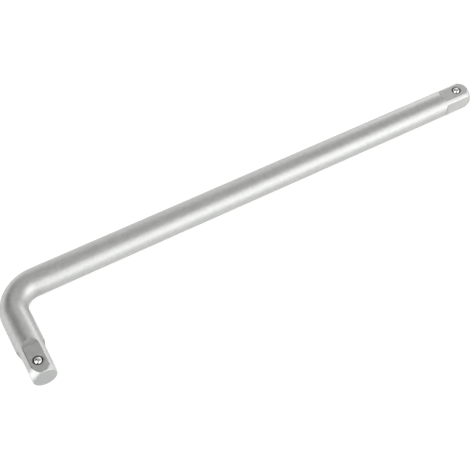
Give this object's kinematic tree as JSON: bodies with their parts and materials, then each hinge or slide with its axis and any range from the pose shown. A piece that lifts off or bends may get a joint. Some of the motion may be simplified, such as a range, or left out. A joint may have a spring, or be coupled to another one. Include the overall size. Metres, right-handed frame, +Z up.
{
  "type": "l-handle socket wrench",
  "caption": "L-handle for square-drive sockets: a bent round steel bar with a male drive square and a spring-loaded detent ball at each end.",
  "frame": {"origin": "centre of the bottom of the bounding box, on the surface that the handle lies on", "axes": "+X along the long arm towards its drive square, -Y towards the short arm's drive square, +Z up, out of the plane of the L, the way both detent balls face"},
  "size_m": [0.46, 0.0946, 0.023],
  "materials": {
    "satin_chrome_steel": "satin chrome plate over forged steel, with ground flats",
    "polished_ball_steel": "polished bearing ball",
    "spring_wire": "plain drawn spring wire"
  },
  "bodies": {
    "handle": {"handle_bar": "satin_chrome_steel", "long_end_spring": "spring_wire", "short_end_spring": "spring_wire"},
    "long_end_ball": {"long_end_ball": "polished_ball_steel"},
    "short_end_ball": {"short_end_ball": "polished_ball_steel"}
  },
  "joints": [
    {"name": "long_end_detent", "type": "slide", "parent": "handle", "child": "long_end_ball", "axis": [0, 0, 1], "range_m": [-0.0016, 0], "stiffness_N_per_m": 3000, "springref_m": 0.003, "deforming": ["long_end_spring"]},
    {"name": "short_end_detent", "type": "slide", "parent": "handle", "child": "short_end_ball", "axis": [0, 0, 1], "range_m": [-0.0016, 0], "stiffness_N_per_m": 3000, "springref_m": 0.003, "deforming": ["short_end_spring"]}
  ]
}
